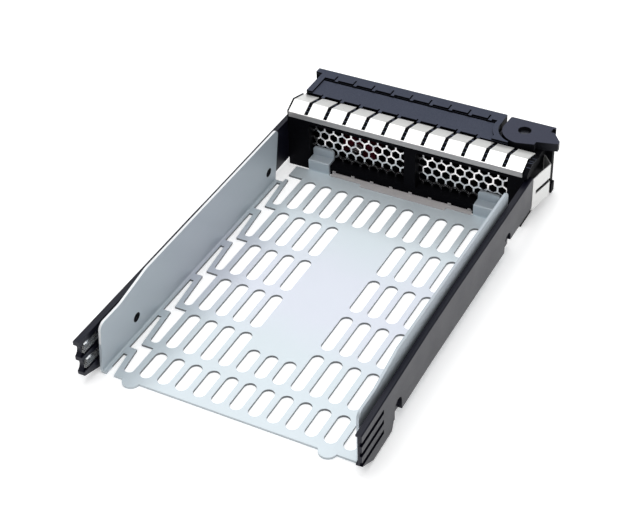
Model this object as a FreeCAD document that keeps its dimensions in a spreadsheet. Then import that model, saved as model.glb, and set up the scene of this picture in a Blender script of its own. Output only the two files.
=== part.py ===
import FreeCAD, Part
import Sketcher
import math
import os

# A tray for one 3.5-inch drive: a folded sheet with plastic rails, a vented bezel and an ejector lever.
# Millimetres. X runs across the tray, +Y points to the bezel, Z = 0 is the underside of the floor,
# and X = Y = 0 is the middle of the floor.

doc = FreeCAD.newDocument("drive_tray")
sheet = doc.addObject("Spreadsheet::Sheet", "Sizes")

SIZES = (
    # The drive and the folded sheet
    ("drive_width", 101.6, "width of the drive"),
    ("drive_play", 0.5, "room beside the drive, each side"),
    ("sheet_gauge", 1.0, "thickness of the sheet"),
    ("bend_inside", 0.5, "inside radius of the long bends"),
    ("floor_length", 144.0, "floor, rear edge to front edge"),
    ("front_corner", 48.6, "half width of the floor in front of the walls"),
    ("wall_length", 131.5, "side walls, from the rear edge"),
    ("wall_height", 27.7, "top of the walls"),
    ("wall_rear_height", 24.0, "top of the walls at the rear"),
    ("wall_corner", 3.0, "radius of the walls' upper corners"),
    ("ramp_start", 13.0, "rear edge to the foot of the ramp in the walls' tops"),
    ("ramp_end", 31.0, "rear edge to the head of that ramp"),
    ("wall_lean", 2.8, "how far the sprung wall leans in over its height"),
    ("screw_spacing", 101.6, "between the two drive screws of a wall"),
    ("screw_rear", 23.3, "rear edge to the first drive screw"),
    ("screw_height", 9.1, "height of the drive screws"),
    ("screw_hole", 4.0, "diameter of the screw holes"),
    # Slots of the floor
    ("slot_width", 5.0, "width of a slot"),
    ("slot_length", 20.4, "length of a slot"),
    ("slot_pitch", 7.536, "between columns of slots"),
    ("row_pitch", 23.65, "between rows of slots"),
    ("slot_shift", 0.7, "middle column, off the tray's middle"),
    ("slot_rear", 21.4, "rear edge to the first full row"),
    ("rear_slot_start", 3.5, "rear edge to the short rear row"),
    ("middle_slot", 13.0, "length of the short slots in the middle"),
    # Slender arms that carry the sprung wall
    ("flange_edge", 50.6, "middle to the edge of the sprung wall's foot"),
    ("arm_root", 47.3, "middle to the outside of an arm at its root"),
    ("arm_tip", 48.9, "middle to the outside of an arm at its tip"),
    ("arm_width", 1.7, "width of an arm"),
    ("arm_length", 16.7, "root to tip"),
    ("rear_arm_length", 11.6, "root to tip of the rear arm"),
    ("arm_gap", 3.2, "tab of an arm to the next root"),
    ("root_step", 0.5, "front end of a slot to the root beside it"),
    ("arm_corner", 1.8, "radius in the corners beside an arm"),
    # Bumps on the rear edge and tabs on the front edge
    ("bump_place", 40.0, "middle to a bump"),
    ("bump_radius", 3.6, "radius of a bump"),
    ("bump_reach", 3.0, "how far a bump stands out"),
    ("tab_place", 33.0, "middle to the near side of a tab"),
    ("tab_width", 9.7, "width of a tab"),
    ("tab_rise", 6.2, "top of the tab's step"),
    ("tab_step", 5.7, "front edge to the tab's tip"),
    ("tab_tip", 3.8, "height of the tip above the step"),
    ("tab_bend", 0.7, "radius of the tab's outer bends"),
    ("tab_corner", 1.2, "radius of the tip's upper corners"),
    # Rails
    ("rail_gap", 0.8, "wall to rail"),
    ("rail_depth", 2.4, "thickness of a rail"),
    ("rail_tail", 8.0, "left rail behind the floor's rear edge"),
    ("right_tail", 6.0, "right rail behind the floor's rear edge"),
    ("rail_head", 6.3, "rail in front of the floor's front edge"),
    ("rail_top", 22.3, "top of a rail"),
    ("rail_tail_top", 20.6, "top of a rail at its tail"),
    ("rail_slope_end", 75.0, "rear edge to where the rail's top levels out"),
    ("rail_bottom", 4.8, "underside of the right rail"),
    ("rail_front_bottom", 7.2, "underside of the right rail at its head"),
    ("left_bottom", 3.4, "underside of the left rail"),
    ("rail_tail_bottom", 1.3, "underside of the deep tail"),
    ("rail_tail_length", 19.5, "rear edge to the front of the deep tail"),
    ("rail_tail_slope", 1.5, "slope at the front of the deep tail"),
    ("rail_tail_cut", 2.8, "rear edge to the foot of the tail's slanted end"),
    ("rail_tail_cut_rise", 5.0, "height of the right rail's slanted end"),
    ("left_cut_rise", 3.4, "height of the left rail's slanted end"),
    ("rail_splay", 0.8, "how far a tail's inner face stands out"),
    ("rail_swell", 0.5, "extra thickness of the left tail"),
    ("rail_splay_start", 50.0, "rear edge to the start of the right rail's splay"),
    ("left_splay_start", 82.0, "rear edge to the start of the left rail's splay"),
    ("rail_notch", 6.0, "width of the notches over the drive screws"),
    ("notch_back", 1.2, "thickness of the rail behind a notch"),
    ("notch_land", 5.0, "drive screw to the end of the solid rail beside it"),
    ("rail_screw_hole", 4.4, "diameter of the screw holes in the right rail"),
    ("rail_edge", 0.5, "radius of the rails' upper edges"),
    ("channel_low", 7.2, "floor of the channel inside the right rail"),
    ("channel_high", 19.8, "roof of that channel"),
    ("channel_depth", 1.6, "depth of that channel"),
    ("groove_low", 6.2, "underside of the lowest groove in the right tail"),
    ("groove_width", 2.0, "width of a groove"),
    ("groove_pitch", 4.7, "between grooves"),
    ("groove_depth", 0.9, "depth of a groove"),
    ("groove_length", 11.4, "rear edge to the front of the grooves"),
    # Light pipes in the left rail
    ("pipe_thickness", 1.0, "thickness of a light pipe"),
    ("pipe_height", 2.4, "height of a light pipe"),
    ("pipe_upper", 14.8, "underside of the upper light pipe"),
    ("pipe_lower", 7.7, "underside of the lower light pipe"),
    ("pipe_tail", 6.8, "light pipe behind the floor's rear edge"),
    ("pipe_room", 0.2, "room round a light pipe"),
    ("pipe_cover", 0.85, "left rail outside the light pipes"),
    ("pipe_flare", 0.8, "how far a light pipe's end widens upwards"),
    ("pipe_flare_length", 6.0, "length of that widening"),
    ("tail_pocket", 5.2, "height of the pockets round the ends of the light pipes"),
    ("tail_pocket_length", 10.0, "length of those pockets"),
    ("tail_notch", 2.9, "radius of the notches in the left tail's end"),
    ("tail_notch_out", 1.2, "centre of those notches, behind the tail's end"),
    # Bezel
    ("bezel_gap", 2.0, "floor's front edge to the bezel"),
    ("bezel_wall", 4.0, "rear wall of the bezel"),
    ("bezel_depth", 33.4, "rear face to front face of the bezel"),
    ("bezel_shelf_top", 24.5, "top of the bezel's box"),
    ("shelf_thickness", 1.5, "shelf under the finger strip"),
    ("shelf_depth", 17.0, "rear face to the shelf's front edge"),
    ("cheek_wall", 1.8, "side walls of the bezel"),
    ("cheek_depth", 30.0, "rear face to the front of the side walls"),
    ("base_thickness", 2.0, "floor of the bezel"),
    ("post_left", 0.9, "middle to the left side of the post between the windows"),
    ("post_width", 5.2, "post between the windows"),
    ("window_left", 43.2, "middle to the far side of the left window"),
    ("window_right", 46.3, "middle to the far side of the right window"),
    ("window_low", 5.0, "sill of the windows"),
    ("window_high", 22.6, "head of the windows"),
    ("bead_height", 2.1, "rear of the bead that the finger strip hooks over, above the shelf"),
    ("end_rib", 0.6, "thickness of the rib at the left end of the bead"),
    ("end_rib_rise", 0.2, "that rib above the fingers"),
    ("right_rib", 2.0, "thickness of the rib at the right end"),
    ("right_rib_drop", 1.0, "that rib below the fingers"),
    # Long bar on top of the bezel
    ("bar_start", 13.3, "bezel's rear face to the bar"),
    ("bar_height", 4.0, "height of the bar above the shelf"),
    ("bar_left", 52.0, "middle to the bar's left end"),
    ("bar_front_left", 55.0, "middle to the left end of the bar's front plate"),
    ("bar_front_plate", 3.0, "thickness of that plate"),
    ("bar_right", 32.6, "middle to the bar's front right corner"),
    ("bar_rim_right", 40.0, "middle to the right end of the bar's rear rim"),
    ("bar_channel_left", 49.3, "middle to the left end of the channel"),
    ("bar_end_rim", 2.3, "rim between the channel and the hinge block's recess"),
    ("bar_end_bend", 8.1, "hinge pin to the rear end of that rim's arc, rearwards"),
    ("bar_tail", 2.5, "depth of the bar behind the hinge block"),
    ("bar_front_rim", 5.6, "rim in front of the channel"),
    ("bar_channel_depth", 1.0, "depth of the channel"),
    ("trench_width", 1.1, "trench along the front of the channel"),
    ("trench_depth", 1.6, "depth of that trench"),
    ("rib_width", 1.4, "width of the ribs along the bar"),
    ("rib_shift", 0.8, "ribs to the right of the slits between fingers"),
    ("rib_reach", 1.2, "how far the channel's ribs stand out"),
    ("slit_width", 0.7, "width of the slits beside the ribs"),
    ("slit_reach", 2.8, "length of the slits in the front rim"),
    ("tip_slit", 0.8, "length of the slits in front of the notches for the fingers' tips"),
    ("tip_notch_low", 0.6, "shelf to the underside of the notches for the fingers' tips"),
    ("tip_notch_depth", 2.3, "depth of those notches in the bar"),
    ("tip_notch_back", 1.0, "those notches behind the bar"),
    ("end_notch_depth", 1.5, "depth of the long notch beside the hinge block"),
    # Finger strip and side spring
    ("finger_count", 12, "fingers on the strip"),
    ("finger_pitch", 8.86, "between fingers"),
    ("finger_slit", 1.7, "width of the slits between fingers"),
    ("strip_gauge", 0.3, "thickness of the spring sheets"),
    ("strip_shift", 0.0, "middle of the strip, off the tray's middle"),
    ("lip_height", 2.4, "lip behind the fingers"),
    ("finger_rise", 2.7, "rise of a finger above the lip"),
    ("finger_crest", 5.4, "lip to the start of the crest"),
    ("crest_length", 0.9, "length of the crest"),
    ("crest_radius", 0.9, "radius of the crest"),
    ("finger_reach", 14.2, "lip to the tip of a finger"),
    ("finger_drop", 2.3, "crest to the top of a finger's tip"),
    ("strip_room", 0.15, "room under the fingers and at the strip's ends"),
    ("spring_low", 5.8, "underside of the side spring"),
    ("spring_high", 21.3, "top of the side spring"),
    ("spring_root", 2.4, "how far the side spring stands out at its rear end"),
    ("spring_start", 4.8, "bezel's rear face to the side spring"),
    ("spring_length", 18.0, "length of the side spring"),
    ("spring_bow", 4.9, "how far the side spring stands out"),
    ("spring_slit", 1.8, "width of the side spring's slit"),
    # Vent screen
    ("screen_gauge", 0.5, "thickness of the vent screen"),
    ("screen_border", 4.0, "screen beyond the windows"),
    ("cell_pitch", 4.13, "between the screen's cells"),
    ("cell_width", 3.4, "across the flats of a cell"),
    ("cell_left", 43.81, "middle to the first cell of the odd rows, leftwards"),
    ("cell_low", 5.1, "height of the lowest row"),
    ("cell_columns", 23, "cells in the odd rows"),
    # Hinge and lever
    ("hinge_place", 43.2, "middle to the hinge pin"),
    ("hinge_setback", 7.8, "bezel's front face to the hinge pin"),
    ("pin_radius", 2.7, "radius of the hinge pin"),
    ("pin_play", 0.05, "running clearance of the pin"),
    ("pin_recess", 1.6, "pin below the block's top"),
    ("ear_radius", 5.0, "radius of the bezel's ear"),
    ("ear_thickness", 3.0, "thickness of the ear"),
    ("swing_room", 0.3, "clearance above, below and beside the lever"),
    ("block_radius", 9.6, "pin to the rear of the hinge block"),
    ("block_side", 9.0, "pin to the left side of the block"),
    ("block_gap", 1.1, "hinge block to the bar"),
    ("block_left", 8.6, "pin to the block's front left corner"),
    ("block_corner", 0.8, "radius of that corner"),
    ("block_notch", 1.0, "front right corner to the left side of the pocket there"),
    ("block_notch_rim", 1.2, "block's front face to that pocket"),
    ("block_notch_length", 2.8, "length of that pocket"),
    ("block_notch_depth", 2.0, "depth of that pocket"),
    ("block_right", 11.0, "pin to the block's front right corner"),
    ("block_waist", 12.2, "pin to the hollow in the block's right side"),
    ("block_waist_front", 2.6, "pin to that hollow, forwards"),
    ("tooth_reach", 15.7, "pin to the tooth"),
    ("tooth_back", 1.8, "pin to the tooth's point, rearwards"),
    ("tooth_flank", 5.8, "pin to the root of the tooth, rearwards"),
    ("tooth_root", 7.1, "pin to the root of the tooth, sideways"),
    ("lever_front", 0.6, "lever's front behind the bezel's front face"),
    ("lever_thickness", 6.3, "thickness of the handle"),
    ("lever_left", 15.0, "middle to the free end of the handle"),
    ("lever_top", 21.2, "top of the handle"),
    ("web_thickness", 1.8, "web between block and handle"),
    ("web_right", 3.8, "pin to the right side of the web"),
    ("hub_radius", 5.2, "radius of the lever's hub"),
    ("hub_top", 14.2, "top of the hub"),
    ("vent_width", 3.0, "width of the handle's vents"),
    ("vent_pitch", 5.6, "between those vents"),
    ("vent_count", 8, "vents in the handle"),
    ("vent_low", 5.4, "underside of the vents"),
    ("vent_high", 18.2, "top of the vents"),
    ("vent_start", 8.0, "free end of the handle to the middle of the first vent"),
    # Springs
    ("coil_wire", 0.6, "wire of the springs"),
    ("lever_coil", 4.0, "radius of the lever spring"),
    ("lever_coil_turns", 4.5, "turns of the lever spring"),
    ("button_coil", 2.4, "radius of the button spring"),
    ("button_coil_turns", 4.5, "turns of the button spring"),
    # Release button
    ("button_place", 26.5, "middle to the button"),
    ("button_width", 17.8, "width of the button's cap"),
    ("button_low", 2.6, "underside of the cap"),
    ("button_high", 21.0, "top of the cap"),
    ("button_cap", 5.6, "thickness of the cap"),
    ("button_proud", 0.2, "cap in front of the bezel's front face"),
    ("stem_width", 15.0, "width of the button's stem"),
    ("stem_height", 8.0, "height of the stem"),
    ("stem_length", 14.0, "length of the stem"),
    ("button_edge", 0.8, "radius of the cap's edges"),
    ("guide_width", 1.2, "ribs beside the stem"),
    ("guide_height", 3.0, "height of those ribs"),
    ("guide_length", 8.0, "length of those ribs"),
    ("seat_height", 8.6, "top of the button spring's seat"),
    ("seat_width", 6.0, "width of that seat"),
    ("seat_thickness", 1.6, "thickness of that seat"),
    ("seat_gap", 5.8, "seat to the stem"),
    # Front of the bezel
    ("panel_right", 36.6, "middle to the right side of the front panel"),
    ("panel_thickness", 2.4, "thickness of the front panel"),
    ("post_reach", 2.6, "right post outside the cheek"),
    ("post_depth", 2.4, "depth of the right post"),
    ("post_setback", 5.4, "bezel's front face to the right post"),
    ("post_low", 1.2, "underside of the right post"),
    ("foot_reach", 3.4, "post's foot outside the cheek"),
    ("foot_height", 4.6, "height of the foot"),
    # Clear guard strip
    ("guard_gauge", 0.4, "thickness of the guard strip"),
    ("guard_half", 32.0, "half length of the guard strip"),
    ("guard_depth", 2.2, "guard strip behind the bezel"),
    ("guard_lip", 0.3, "turned-up edge of the guard strip, above its sheet"),
    ("guard_tooth", 0.8, "teeth above that edge"),
    ("guard_tooth_width", 1.4, "width of a tooth"),
    ("guard_tongue", 1.8, "tongue of the guard strip on the floor"),
    ("tongue_left", 17.5, "middle to the tongue's left end"),
    ("tongue_right", 21.3, "middle to the tongue's right end"),
)

for row, (alias, value, note) in enumerate(SIZES, start=1):
    sheet.set(f"A{row}", note)
    sheet.set(f"B{row}", str(value))
    sheet.setAlias(f"B{row}", alias)
doc.recompute()

# Room that a cut runs past the faces it opens.
PAST = 3.0
ROOT3 = math.sqrt(3.0)


class Size:
    """A length worked out on the sheet: its expression and its present value."""

    def __init__(self, text, value):
        self.text = text
        self.value = value

    def join(self, sign, other, value):
        return Size(f"({self.text} {sign} {other.text})", value)

    def __add__(self, other):
        other = size(other)
        return self.join("+", other, self.value + other.value)

    def __sub__(self, other):
        other = size(other)
        return self.join("-", other, self.value - other.value)

    def __mul__(self, other):
        other = size(other)
        return self.join("*", other, self.value * other.value)

    def __truediv__(self, other):
        other = size(other)
        return self.join("/", other, self.value / other.value)

    def __radd__(self, other):
        return size(other) + self

    def __rsub__(self, other):
        return size(other) - self

    def __rmul__(self, other):
        return size(other) * self

    def __neg__(self):
        return size(0) - self

    def root(self):
        return Size(f"sqrt({self.text})", math.sqrt(self.value))


def size(value):
    """A plain number as a Size."""
    return value if isinstance(value, Size) else Size(repr(float(value)), float(value))


class Sizes:
    """The sheet's cells, by alias."""

    def __getattr__(self, alias):
        return Size(f"Sizes.{alias}", float(sheet.get(alias)))


d = Sizes()

# Planes and axes of a body: each plane's sketch looks along its axis, with the sign of its normal.
PLANES = {"XY": ("XY_Plane", 1), "XZ": ("XZ_Plane", -1), "YZ": ("YZ_Plane", 1)}


def origin(body, role):
    return next(part for part in body.Origin.OriginFeatures if part.Role == role)


def pin_down(outline, kind, items):
    """Adds one driven constraint for each (geometry, point, size)."""
    rules = []
    for geometry, point, value in items:
        if kind == "Radius":
            rules.append(Sketcher.Constraint(kind, geometry, value.value))
        else:
            rules.append(Sketcher.Constraint(kind, -1, 1, geometry, point, value.value))
    for index, item in zip(outline.addConstraint(rules), items):
        outline.setExpression(f"Constraints[{index}]", item[2].text)


def polygon(*corners):
    """Straight sides from corner to corner. A third item is the radius of an arc to the next corner,
    positive where the arc bulges to the right of the way it is drawn."""
    def draw(outline):
        first = outline.GeometryCount
        count = len(corners)
        spots = [FreeCAD.Vector(size(c[0]).value, size(c[1]).value, 0) for c in corners]
        for index, corner in enumerate(corners):
            start, end = spots[index], spots[(index + 1) % count]
            if len(corner) == 2:
                outline.addGeometry(Part.LineSegment(start, end), False)
                continue
            radius = size(corner[2]).value
            half = (end - start) * 0.5
            right = FreeCAD.Vector(half.y, -half.x, 0).normalize()
            rise = abs(radius) - math.sqrt(radius ** 2 - half.Length ** 2)
            crest = start + half + right * math.copysign(rise, radius)
            outline.addGeometry(Part.Arc(start, crest, end), False)
        ends = []
        for index, corner in enumerate(corners):
            turned = len(corner) == 3 and size(corner[2]).value < 0
            ends.append((2, 1) if turned else (1, 2))
        for index in range(count):
            following = (index + 1) % count
            rule = ("Coincident", first + index, ends[index][1], first + following, ends[following][0])
            outline.addConstraint(Sketcher.Constraint(*rule))
        pin_down(outline, "DistanceX", [(first + i, ends[i][0], size(c[0])) for i, c in enumerate(corners)])
        pin_down(outline, "DistanceY", [(first + i, ends[i][0], size(c[1])) for i, c in enumerate(corners)])
        arcs = [(first + i, 0, size(c[2])) for i, c in enumerate(corners) if len(c) == 3]
        pin_down(outline, "Radius", [(g, p, Size(f"abs({r.text})", abs(r.value))) for g, p, r in arcs])
    return draw


def box(left, right, low, high):
    """A rectangle between two opposite corners."""
    return polygon((left, low), (right, low), (right, high), (left, high))


def circle(across, up, radius):
    def draw(outline):
        centre = FreeCAD.Vector(size(across).value, size(up).value, 0)
        made = outline.addGeometry(Part.Circle(centre, FreeCAD.Vector(0, 0, 1), size(radius).value), False)
        pin_down(outline, "DistanceX", [(made, 3, size(across))])
        pin_down(outline, "DistanceY", [(made, 3, size(up))])
        pin_down(outline, "Radius", [(made, 0, size(radius))])
    return draw


def slot(across, low, high, width):
    """An upright slot with round ends, from low to high."""
    def draw(outline):
        radius = size(width) / 2
        x, bottom, top = size(across), low + radius, high - radius
        r = radius.value
        spot = FreeCAD.Vector
        up = spot(0, 0, 1)
        lower, upper = spot(x.value, bottom.value, 0), spot(x.value, top.value, 0)
        side = spot(r, 0, 0)
        first = outline.addGeometry(Part.ArcOfCircle(Part.Circle(lower, up, r), math.pi, 2 * math.pi), False)
        outline.addGeometry(Part.LineSegment(lower + side, upper + side), False)
        outline.addGeometry(Part.ArcOfCircle(Part.Circle(upper, up, r), 0, math.pi), False)
        outline.addGeometry(Part.LineSegment(upper - side, lower - side), False)
        for index in range(4):
            rule = ("Tangent", first + index, 2, first + (index + 1) % 4, 1)
            outline.addConstraint(Sketcher.Constraint(*rule))
        outline.addConstraint(Sketcher.Constraint("Equal", first, first + 2))
        pin_down(outline, "DistanceX", [(first, 3, x), (first + 2, 3, x)])
        pin_down(outline, "DistanceY", [(first, 3, bottom), (first + 2, 3, top)])
        pin_down(outline, "Radius", [(first, 0, radius)])
    return draw


def new_body(name):
    body = doc.addObject("PartDesign::Body", name)
    body.Label = name
    return body


def outline_on(body, plane, loops, level):
    """A sketch across the body's own plane, at a level along the plane's axis."""
    role, sign = PLANES[plane]
    made = body.newObject("Sketcher::SketchObject", f"{body.Name}_outline")
    made.AttachmentSupport = [(origin(body, role), "")]
    made.MapMode = "FlatFace"
    made.setExpression("AttachmentOffset.Base.z", (size(level) * sign).text)
    for loop in loops:
        loop(made)
    return made


def volume(body):
    return 0.0 if body.Shape.isNull() else body.Shape.Volume


def add(body, plane, loops, level, length):
    """Pads the loops from a level, towards the axis's plus side."""
    before = volume(body)
    made = body.newObject("PartDesign::Pad", f"{body.Name}_pad")
    made.Profile = outline_on(body, plane, loops, level)
    made.setExpression("Length", size(length).text)
    made.Reversed = PLANES[plane][1] < 0
    body.Tip = made
    doc.recompute()
    if volume(body) <= before:
        raise RuntimeError(f"a pad of {body.Label} adds nothing")
    return made


def cut(body, plane, loops, level, length):
    """Pockets the loops from a level, towards the axis's plus side."""
    before = volume(body)
    made = body.newObject("PartDesign::Pocket", f"{body.Name}_pocket")
    made.Profile = outline_on(body, plane, loops, level)
    made.setExpression("Length", size(length).text)
    made.Reversed = PLANES[plane][1] > 0
    body.Tip = made
    doc.recompute()
    if volume(body) >= before:
        raise RuntimeError(f"a pocket of {body.Label} cuts nothing")
    return made


def repeat(body, feature, axis, count, pitch, second_axis=None, second_count=1, second_pitch=None):
    """Repeats a feature along one axis, or along two for a grid."""
    before = volume(body)
    made = body.newObject("PartDesign::LinearPattern", f"{body.Name}_pattern")
    made.Originals = [feature]
    made.Direction = (origin(body, f"{axis}_Axis"), [""])
    made.Mode = "Extent"
    made.Occurrences = int(count)
    made.setExpression("Length", (size(pitch) * (int(count) - 1)).text)
    if second_axis:
        made.Direction2 = (origin(body, f"{second_axis}_Axis"), [""])
        made.Mode2 = "Extent"
        made.Occurrences2 = int(second_count)
        made.setExpression("Length2", (size(second_pitch) * (int(second_count) - 1)).text)
    body.Tip = made
    doc.recompute()
    if abs(volume(body) - before) < 1e-6:
        raise RuntimeError(f"a pattern of {body.Label} changes nothing")
    return made


def edges_along(body, axis, spots):
    """Names of the straight edges along an axis that pass through one of the spots across it."""
    along = "XYZ".index(axis)
    across = [index for index in range(3) if index != along]
    names = []
    for number, edge in enumerate(body.Shape.Edges, start=1):
        ends = [vertex.Point for vertex in edge.Vertexes]
        if len(ends) != 2 or edge.Curve.TypeId != "Part::GeomLine":
            continue
        if any(abs(ends[0][index] - ends[1][index]) > 1e-4 for index in across):
            continue
        for spot in spots:
            if all(abs(ends[0][index] - size(value).value) < 1e-3 for index, value in zip(across, spot)):
                names.append(f"Edge{number}")
    return names


def soften(body, axis, spots, radius):
    """Rounds the straight edges along an axis at the given spots across it."""
    names = edges_along(body, axis, spots)
    if not names:
        raise RuntimeError(f"{body.Label} has no edge to round there")
    made = body.newObject("PartDesign::Fillet", f"{body.Name}_round")
    made.Base = (body.Tip if body.Tip != made else made.BaseFeature, names)
    made.setExpression("Radius", size(radius).text)
    body.Tip = made
    doc.recompute()
    return made


# Places that several pieces share.
gauge = d.sheet_gauge
half_bay = d.drive_width / 2 + d.drive_play
rear = -d.floor_length / 2
front = d.floor_length / 2
screw_rear = rear + d.screw_rear
screw_front = screw_rear + d.screw_spacing
rail_inner = half_bay + gauge + d.rail_gap
rail_outer = rail_inner + d.rail_depth
rail_head = front + d.rail_head
bezel_rear = front + d.bezel_gap
bezel_front = bezel_rear + d.bezel_depth
screen_rear = bezel_rear + d.bezel_wall
cheek_outer = rail_inner
cheek_inner = cheek_outer - d.cheek_wall
cheek_front = bezel_rear + d.cheek_depth
shelf_front = bezel_rear + d.shelf_depth
shelf_top = d.bezel_shelf_top
bar_rear = bezel_rear + d.bar_start
bar_top = shelf_top + d.bar_height
bar_tail_front = bar_rear + d.bar_tail
channel_front = bezel_front - d.bar_front_rim
hinge_x = d.hinge_place
hinge_y = bezel_front - d.hinge_setback
bore_radius = d.pin_radius + d.pin_play
strip_left = d.strip_shift - d.finger_pitch * d.finger_count / 2
strip_right = strip_left + d.finger_pitch * d.finger_count
first_slit = strip_left + d.finger_pitch
bar_ribs = int(d.finger_count.value) - 3
finger_left = strip_left + d.finger_slit / 2
finger_right = strip_right - d.finger_slit / 2
lip_y = bezel_rear - d.strip_gauge
lip_top = shelf_top + d.bead_height + d.strip_gauge
crest_start = lip_y + d.finger_crest
crest_end = crest_start + d.crest_length
crest_top = lip_top + d.finger_rise
finger_tip = lip_y + d.finger_reach
finger_tip_top = crest_top - d.finger_drop
pipe_outer = rail_outer - d.pipe_cover
pipe_inner = pipe_outer - d.pipe_thickness
button_front = bezel_front + d.button_proud
stem_front = button_front - d.button_cap
stem_rear = stem_front - d.stem_length
stem_low = d.base_thickness + d.swing_room
seat_front = stem_rear - d.seat_gap


def left_inner(height):
    """Inner face of the sprung wall at a height: it passes the bay's side at the screws and leans in."""
    return -half_bay + (height - d.screw_height) * d.wall_lean / d.wall_height


def left_outer(height):
    return left_inner(height) - gauge


def make_tray_sheet():
    body = new_body("tray_sheet")
    top = d.wall_height
    section = polygon((left_outer(0), 0), (half_bay + gauge, 0), (half_bay + gauge, top), (half_bay, top),
                      (half_bay, gauge), (left_inner(gauge), gauge),
                      (left_inner(top), top), (left_outer(top), top))
    add(body, "XZ", [section], rear, d.floor_length)
    soften(body, "Y", [(half_bay, gauge), (left_inner(gauge), gauge)], d.bend_inside)
    soften(body, "Y", [(half_bay + gauge, 0), (left_outer(0), 0)], d.bend_inside + gauge)

    # Tops and front ends of the walls, seen from the side.
    side, across = -half_bay - PAST, (half_bay + PAST) * 2
    wall_end = rear + d.wall_length
    ramp_foot, ramp_head = rear + d.ramp_start, rear + d.ramp_end
    ramp = polygon((rear - PAST, d.wall_rear_height), (ramp_foot, d.wall_rear_height), (ramp_head, top),
                   (ramp_head, top + PAST), (rear - PAST, top + PAST))
    cut(body, "YZ", [ramp], side, across)
    cut(body, "YZ", [box(wall_end, front + PAST, gauge, top + PAST)], side, across)
    soften(body, "X", [(rear, d.wall_rear_height), (wall_end, top)], d.wall_corner)
    trims = [box(d.front_corner, half_bay + PAST, wall_end, front + PAST),
             box(-half_bay - PAST, -d.front_corner, wall_end, front + PAST)]
    cut(body, "XY", trims, -PAST, PAST * 2)
    holes = [circle(y, d.screw_height, d.screw_hole / 2) for y in (screw_rear, screw_front)]
    cut(body, "YZ", holes, side, across)

    # Bumps on the rear edge and the stepped tabs on the front edge.
    bump_y = rear + d.bump_radius - d.bump_reach
    bumps = [circle(x, bump_y, d.bump_radius) for x in (-d.bump_place, d.bump_place)]
    add(body, "XY", bumps, 0, gauge)
    tip = front + d.tab_step
    rise = d.tab_rise
    tab = polygon((front - gauge, 0), (front + gauge, 0), (front + gauge, rise - gauge), (tip, rise - gauge),
                  (tip, rise + d.tab_tip), (tip - gauge, rise + d.tab_tip), (tip - gauge, rise),
                  (front, rise), (front, gauge), (front - gauge, gauge))
    for left in (d.tab_place, -d.tab_place - d.tab_width):
        add(body, "YZ", [tab], left, d.tab_width)
    soften(body, "X", [(front + gauge, 0), (front, rise), (tip, rise - gauge)], d.tab_bend)
    tab_sides = (d.tab_place, d.tab_place + d.tab_width)
    soften(body, "Y", [(x * side, rise + d.tab_tip) for x in tab_sides for side in (-1, 1)], d.tab_corner)

    # Arms beside the sprung wall: a wedge between foot and arm opens into the slot behind the next root.
    def column(index):
        return d.slot_shift + d.slot_pitch * index

    full_low = rear + d.slot_rear
    foot = -d.flange_edge
    slot_side = column(-6) + d.slot_width / 2
    arm_in_root = -d.arm_root + d.arm_width
    arm_in_tip = -d.arm_tip + d.arm_width
    first_root = full_low - d.row_pitch + d.slot_length + d.root_step

    def arm_gap(root, slot_low):
        return polygon((foot, root + d.arm_length), (-d.arm_tip, root + d.arm_length), (-d.arm_root, root),
                       (slot_side, root), (slot_side, slot_low), (arm_in_root, slot_low),
                       (arm_in_tip, root - d.arm_gap), (foot, root - d.arm_gap))

    rear_wedge = polygon((foot, rear + d.rear_arm_length), (-d.arm_tip, rear + d.rear_arm_length),
                         (-d.arm_root, rear), (-d.arm_root, rear - PAST), (foot, rear - PAST))
    cut(body, "XY", [rear_wedge], -PAST, PAST * 2)
    cut(body, "XY", [arm_gap(first_root, rear + d.rear_slot_start)], -PAST, PAST * 2)
    second_root = first_root + d.row_pitch
    one = cut(body, "XY", [arm_gap(second_root, full_low)], -PAST, PAST * 2)
    repeat(body, one, "Y", 4, d.row_pitch)
    last_root = first_root + d.row_pitch * 5
    last_low = full_low + d.row_pitch * 4
    outside = -d.front_corner - PAST
    front_gap = polygon((slot_side, last_root), (slot_side, last_low),
                        (arm_in_root, last_low), (arm_in_tip, last_root - d.arm_gap),
                        (outside, last_root - d.arm_gap), (outside, last_root))
    cut(body, "XY", [front_gap], -PAST, PAST * 2)
    lows = [rear + d.rear_slot_start] + [full_low + d.row_pitch * index for index in range(5)]
    corners = [(x, low) for low in lows for x in (slot_side, arm_in_root)]
    soften(body, "Z", corners, d.arm_corner)

    # Slots of the floor: full columns beside a plain middle, a full front row and a short rear row.
    for first, count in ((-5, 4), (2, 5)):
        opening = slot(column(first), full_low, full_low + d.slot_length, d.slot_width)
        one = cut(body, "XY", [opening], -PAST, PAST * 2)
        repeat(body, one, "X", count, d.slot_pitch, "Y", 5, d.row_pitch)
    for first, count, low, length in ((-1, 3, last_low, d.slot_length), (-1, 3, full_low, d.middle_slot),
                                      (-5, 12, rear + d.rear_slot_start,
                                       d.slot_rear - d.row_pitch + d.slot_length - d.rear_slot_start)):
        one = cut(body, "XY", [slot(column(first), low, low + length, d.slot_width)], -PAST, PAST * 2)
        repeat(body, one, "X", count, d.slot_pitch)
    return body


def rail_blank(name, side, tail, bend, swell):
    """A rail's plan with its splayed tail, full height, sloped along the top."""
    body = new_body(name)
    inner, outer = rail_inner * side, rail_outer * side
    splay = d.rail_splay * side
    low, high = d.rail_tail_bottom, d.rail_top
    plan = polygon((inner, rail_head), (outer, rail_head), (outer, bend),
                   (outer + splay + swell * side, tail), (inner + splay, tail), (inner, bend))
    add(body, "XY", [plan], low, high - low)
    slope = rear + d.rail_slope_end
    behind = tail - PAST
    top_cut = polygon((slope, high), (behind, d.rail_tail_top), (behind, high + PAST), (slope, high + PAST))
    cut_across(body, [top_cut])
    return body


def cut_across(body, loops):
    """Cuts side-view loops right through a rail."""
    return cut(body, "YZ", loops, -rail_outer - PAST, (rail_outer + PAST) * 2)


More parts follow.
